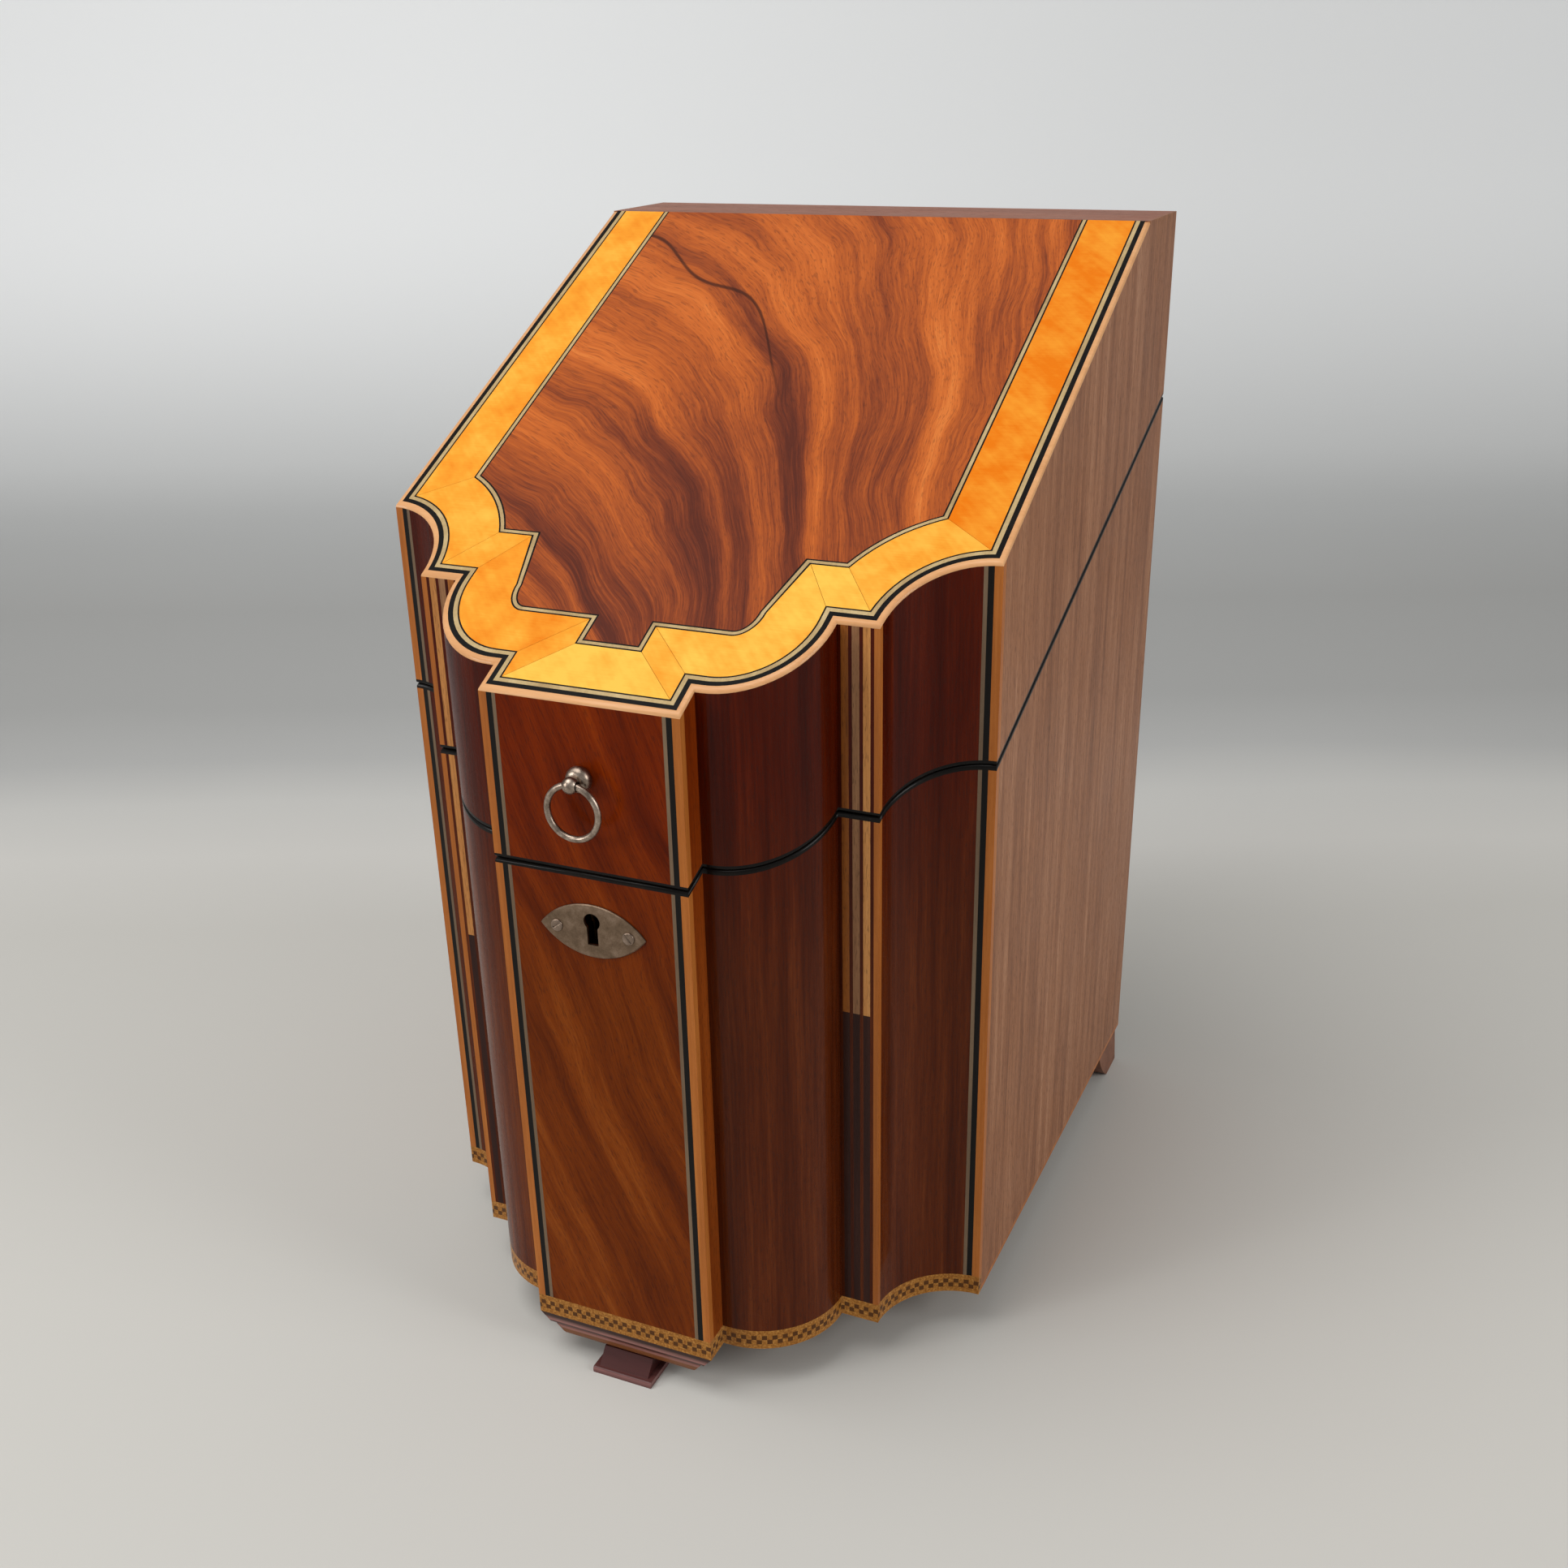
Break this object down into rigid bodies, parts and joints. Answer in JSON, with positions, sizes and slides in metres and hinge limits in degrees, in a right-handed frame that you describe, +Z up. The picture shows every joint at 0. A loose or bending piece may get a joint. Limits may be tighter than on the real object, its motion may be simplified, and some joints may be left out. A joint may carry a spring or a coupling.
{
  "type": "knife box",
  "caption": "Serpentine-fronted wooden knife box on low feet: sloping hinged lid, ring pull, box lock and a slotted cutlery board inside.",
  "frame": {"origin": "on the surface it stands on, under the middle of its box, between the ring pull's front and the hinges' backs", "axes": "+Z up, the front with the keyhole towards -Y, +X to the viewer's right"},
  "size_m": [0.225, 0.2988, 0.384],
  "materials": {
    "carcase": "oiled pine and oak, matt",
    "mahogany_side": "polished straight-grained mahogany",
    "mahogany_front": "dark polished mahogany",
    "mahogany_block": "polished figured mahogany",
    "mahogany_field": "polished flame mahogany",
    "mahogany_lining": "plain mahogany, satin",
    "satinwood": "polished satinwood",
    "boxwood": "polished boxwood",
    "edge_boxwood": "polished boxwood, paler",
    "ebony": "ebonised wood",
    "chequer": "chequered light and dark banding",
    "apron_wood": "moulded mahogany, worn polish",
    "foot_wood": "dark stained mahogany",
    "ring_brass": "aged brass",
    "escutcheon_brass": "dark patinated brass",
    "lock_brass": "dull brass",
    "steel": "dull steel"
  },
  "bodies": {
    "case": {"bottom_board": "carcase", "case_back": "carcase", "board_ledges": "carcase", "case_side_left": "mahogany_side", "case_side_right": "mahogany_side", "case_side_veneer_left": "mahogany_side", "case_side_veneer_right": "mahogany_side", "case_ovolo_left": "mahogany_front", "case_ovolo_right": "mahogany_front", "case_cavetto_left": "mahogany_front", "case_cavetto_right": "mahogany_front", "case_pilaster_left": "mahogany_front", "case_pilaster_right": "mahogany_front", "case_block": "mahogany_block", "case_block_veneer": "mahogany_block", "cutlery_board": "mahogany_lining", "case_light_strings": "boxwood", "case_flutes": "boxwood", "case_black_strings": "ebony", "stop_flutes": "ebony", "case_rim_string": "ebony", "base_band": "chequer", "front_apron": "apron_wood", "front_foot": "foot_wood", "rear_foot_left": "foot_wood", "rear_foot_right": "foot_wood", "escutcheon": "escutcheon_brass", "escutcheon_pins": "escutcheon_brass", "lock_case": "lock_brass", "case_hinge_leaves": "lock_brass", "hinge_pins": "steel", "case_screws": "steel"},
    "lid": {"lid_back": "carcase", "lid_side_left": "mahogany_side", "lid_side_right": "mahogany_side", "lid_side_veneer_left": "mahogany_side", "lid_side_veneer_right": "mahogany_side", "land_rail": "mahogany_side", "lid_ovolo_left": "mahogany_front", "lid_ovolo_right": "mahogany_front", "lid_cavetto_left": "mahogany_front", "lid_cavetto_right": "mahogany_front", "lid_pilaster_left": "mahogany_front", "lid_pilaster_right": "mahogany_front", "lid_block": "mahogany_block", "lid_block_veneer": "mahogany_block", "field_veneer": "mahogany_field", "lid_top_board": "mahogany_lining", "crossbanding": "satinwood", "lid_light_strings": "boxwood", "lid_flutes": "boxwood", "edge_string": "edge_boxwood", "lid_black_strings": "ebony", "lid_rim_string": "ebony", "ring_boss": "ring_brass", "link_plate": "lock_brass", "lid_hinge_leaves": "lock_brass", "lid_screws": "steel"},
    "ring": {"ring_handle": "ring_brass"},
    "bolt": {"lock_bolt": "steel"}
  },
  "joints": [
    {"name": "lid_hinge", "type": "hinge", "parent": "case", "child": "lid", "pos_m": [0, 0.147, 0.3146], "axis": [-1, 0, 0], "range_deg": [0, 105]},
    {"name": "ring_swing", "type": "hinge", "parent": "lid", "child": "ring", "pos_m": [0, -0.1466, 0.2388], "axis": [-1, 0, 0], "range_deg": [-15, 110]},
    {"name": "bolt_slide", "type": "slide", "parent": "case", "child": "bolt", "axis": [1, 0, 0], "range_m": [0, 0.007]}
  ]
}
